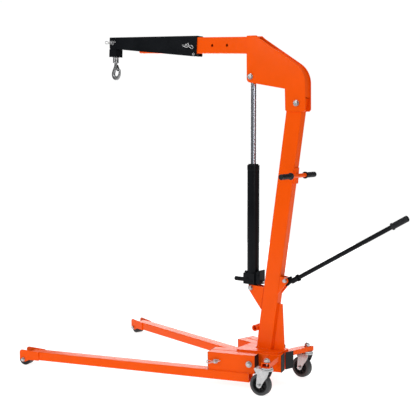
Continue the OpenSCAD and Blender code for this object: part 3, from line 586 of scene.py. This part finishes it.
def cap_screw(r, h, neck, socket, soft):
    """A round plug standing h above its foot, with a socket in its head."""
    return lathe(rounded([(0, -1), (r, -1), (r, h), (r * neck, h), (r * socket, h - 1.6), (0, h - 1.6)], soft, 2,
                         closed=False), 40)


for name, r, h, x, y, z in (("relief", 6.5, 9, -29, -18, 70), ("fill", 5.5, 4, -29, 16, 70)):
    add("pump_" + name + "_plug", several((cap_screw(r, h, 0.55, 0.5, 0.5), RAM @ move(x, y, z))),
        "black_paint", "ram")
for k, name in ((-1, "near"), (1, "far")):
    outwards = AXIS["y"] if k > 0 else flip("Y") @ AXIS["y"]
    plugs = several(*[(cap_screw(r, 2.2, 0.6, 0.52, 0.4), RAM @ move(x, k * y, z) @ outwards)
                      for r, x, y, z in ((7.5, -14, 30, 44), (5.5, 10, 30, 32), (6.5, 40, 22, 62))])
    add("pump_side_plugs_" + name, plugs, "black_paint", "ram")


# ---------- handles ----------

def grip(length, r, r_flange, bore, end=4):
    """A moulded rubber grip turned about z: a flange at z = 0, ribs, and a closed domed end at z = length."""
    pitch, z = 5.0, 11.0
    pts = [(bore, 0), (r_flange, 0), (r_flange, 5), (r + 0.6, 8)]
    while z < length - 12:
        pts += [(r + 0.7, z), (r + 0.7, z + pitch * 0.5), (r - 0.5, z + pitch * 0.62), (r - 0.5, z + pitch * 0.88)]
        z += pitch
    pts += [(r + 0.7, length - 9), (r + 0.7, length - 3), (r - 1.5, length), (0, length), (0, length - end),
            (bore, length - end)]
    return lathe(rounded(pts, 0.7, 2), 72, closed=True)


bar = PLACED @ move(86, 0, 976)
add("push_grip_pair", several(*[(grip(87, 11.9, 16, 9.5), half @ move(0, 60, 0) @ AXIS["y"])
                                for half in (bar, bar @ flip("Y"))]), "grip_rubber", "base", ("push_grips",))
add("handle_grip_ribbed", grip(80, 12.9, 16, 10, end=3), "grip_rubber", "handle", ("handle_grip",),
    LEVER @ move(582, 0, HANDLE_DROP) @ AXIS["x"])
tube = lathe(rounded([(10, 32), (10, 659), (8, 659), (8, 32)], 0.4, 2), 64, closed=True)
add("handle_tube", tube, "black_paint", "handle", ("pump_handle",),
    LEVER @ move(0, 0, HANDLE_DROP) @ AXIS["x"])


# ---------- welds ----------

def mast_face(z, side):
    """x of the front (-1) or back (1) of the mast at a height."""
    return MAST_X + (z - MAST_FOOT_Z) * math.tan(radians(MAST_TILT)) + side * MAST_D / 2 / MAST_C


def head_corner(r, a0, a1, n):
    """Points round the rear corner of the boom's head."""
    turns = [radians(a0 + (a1 - a0) * i / n) for i in range(n + 1)]
    return [(28 + r * cos(a), 1380 + r * sin(a)) for a in turns]


foot = [(mast_face(MAST_FOOT_Z, k) + k * 0.6, y)
        for k, y in ((-1, -20.6), (1, -20.6), (1, 20.6), (-1, 20.6), (-1, -20.6))]
bead("mast_foot", [(x, y, 166.4) for x, y in foot], 2.4, "base")
head_back = [(132.4, 1323)] + head_corner(104.4, 3, 57, 14) + [(-105, 1590.6)]
for k, name in ((-1, "left"), (1, "right")):
    y = 4.4 * k
    bead("gusset_" + name, [(mast_face(382, 1) + 0.6, y, 382), (mast_face(168, 1) + 0.6, y, 168),
                            (mast_face(166, 1) + 62, y, 166.4)], 1.8, "base")
    bead("push_bracket_" + name, [(mast_face(z, 1) + 0.4, 15.2 * k, z) for z in (942, 976, 1010)], 1.6, "base")
    bead("head_" + name, [(x, 19.9 * k, z) for x, z in head_back], 1.5, "boom")
    bead("boom_root_" + name, [(-171.2, 20.8 * k, 1604), (-171.2, 20.8 * k, 1533)], 1.6, "boom")
    bead("foot_lug_" + name, [(mast_face(z, -1) - 0.4, 13.8 * k, z) for z in (356, 452)], 1.6, "base")
    bead("lever_lug_" + name, [(mast_face(z, 1) + 0.4, 13.8 * k, z) for z in (433, 511)], 1.6, "base")
for z, name in ((252, "low"), (268, "high")):
    bead("holder_" + name, [(mast_face(z, -1) - 2, y, z) for y in (-19, 19)], 2.2, "base")
for s in SIDES:
    bead("deck_" + s, [(-2, -41.2, 158.4), (184, -41.2, 158.4)], 2.2, "base", LEG[s])
    arm = [(-28, 133), (12, 133), (12, 155), (-28, 155), (-28, 133)]
    bead("arm_" + s, [(x, -29.2, z) for x, z in arm], 1.8, "base", LEG[s])
    bead("bracket_" + s, [(78, 23.4, 75.3), (299, 23.4, 75.3)], 2.1, "leg_" + s, LEG[s])
    for y, name in ((-29.3, "in"), (29.3, "out")):
        bead("cheek_" + name + "_" + s, [(1224.6, y, 36), (1224.6, y, 73)], 1.8, "leg_" + s, LEG[s])


# ---------- stage: a round pale floor that the lamps lift to white, so its edge is lost ----------

FLOOR_R, FLOOR_GLOW = 5.0, 0.85
BACKDROP, AMBIENT, GLOSS_LEVEL = 1.02, 0.36, 0.14   # the world as the camera, matt faces and gloss see it

bm = bmesh.new()
bmesh.ops.create_circle(bm, cap_ends=True, segments=96, radius=FLOOR_R)
floor_mesh = bpy.data.meshes.new("floor")
bm.to_mesh(floor_mesh)
bm.free()
floor = bpy.data.objects.new("floor", floor_mesh)
bpy.context.scene.collection.objects.link(floor)
paper = material("floor_paper", (0.42, 0.42, 0.42), 0.9, tint=0.003, tint_scale=1.5, spec=0.05)
shader = paper.node_tree.nodes["Principled BSDF"]
shader.inputs["Emission Color"].default_value = (1, 1, 1, 1)
shader.inputs["Emission Strength"].default_value = FLOOR_GLOW
floor_mesh.materials.append(paper)

world = bpy.data.worlds.new("studio")
world.use_nodes = True
wt = world.node_tree
background = wt.nodes["Background"]
background.inputs["Color"].default_value = (1, 1, 1, 1)
rays = wt.nodes.new("ShaderNodeLightPath")
level = wt.nodes.new("ShaderNodeMapRange")
level.inputs["To Min"].default_value = AMBIENT
level.inputs["To Max"].default_value = BACKDROP
dimmed = wt.nodes.new("ShaderNodeMath")
dimmed.operation = "MULTIPLY_ADD"
dimmed.inputs[1].default_value = GLOSS_LEVEL - AMBIENT
wt.links.new(rays.outputs["Is Camera Ray"], level.inputs["Value"])
wt.links.new(rays.outputs["Is Glossy Ray"], dimmed.inputs[0])
wt.links.new(level.outputs["Result"], dimmed.inputs[2])
wt.links.new(dimmed.outputs["Value"], background.inputs["Strength"])
bpy.context.scene.world = world
bpy.context.scene.view_settings.view_transform = "Standard"


# ---------- lamps: name, place, target, size, watts ----------

for name, where, target, size, power in (
        ("key", (-1.6, -4.2, 3.2), (0, 0, 0.8), (1.8, 2.6), 88),
        ("fill", (4.2, -0.6, 2.4), (0, 0, 0.8), (1.6, 2.2), 12),
        ("top", (0, 0.3, 4.6), (0, 0, 0.6), (3.0, 3.0), 75),
        ("edge", (3.7, -2.5, 1.7), (0.2, 0, 1.1), (0.5, 2.6), 22),
        ("back", (-2.4, 4.4, 1.5), (0, 0, 0.5), (5.0, 2.4), 115)):
    d = bpy.data.lights.new(name, "AREA")
    d.shape = "RECTANGLE"
    d.size, d.size_y = size
    d.energy = power
    o = bpy.data.objects.new(name, d)
    bpy.context.scene.collection.objects.link(o)
    o.location = where
    o.rotation_euler = (Vector(target) - Vector(where)).to_track_quat("-Z", "Y").to_euler()
    o.visible_camera = False


# ---------- camera ----------

CAMERA_AT, CAMERA_LENS = (2.403844, -3.2894, 1.17025), 73.12
HEADING, PITCH, ROLL = 0.64454658, 0.0899675509, -0.0101349568   # radians

right0 = Vector((cos(HEADING), sin(HEADING), 0))
depth0 = Vector((-sin(HEADING), cos(HEADING), 0))
up0 = Vector((0, 0, 1))
forward = depth0 * cos(PITCH) - up0 * sin(PITCH)
up1 = depth0 * sin(PITCH) + up0 * cos(PITCH)
right = right0 * cos(ROLL) + up1 * sin(ROLL)
up = up1 * cos(ROLL) - right0 * sin(ROLL)
d = bpy.data.cameras.new("camera")
d.lens = CAMERA_LENS
d.sensor_width = 36
d.clip_end = 100
camera = bpy.data.objects.new("camera", d)
m = Matrix((right, up, -forward)).transposed().to_4x4()
m.translation = Vector(CAMERA_AT)
camera.matrix_world = m
bpy.context.scene.collection.objects.link(camera)
bpy.context.scene.camera = camera
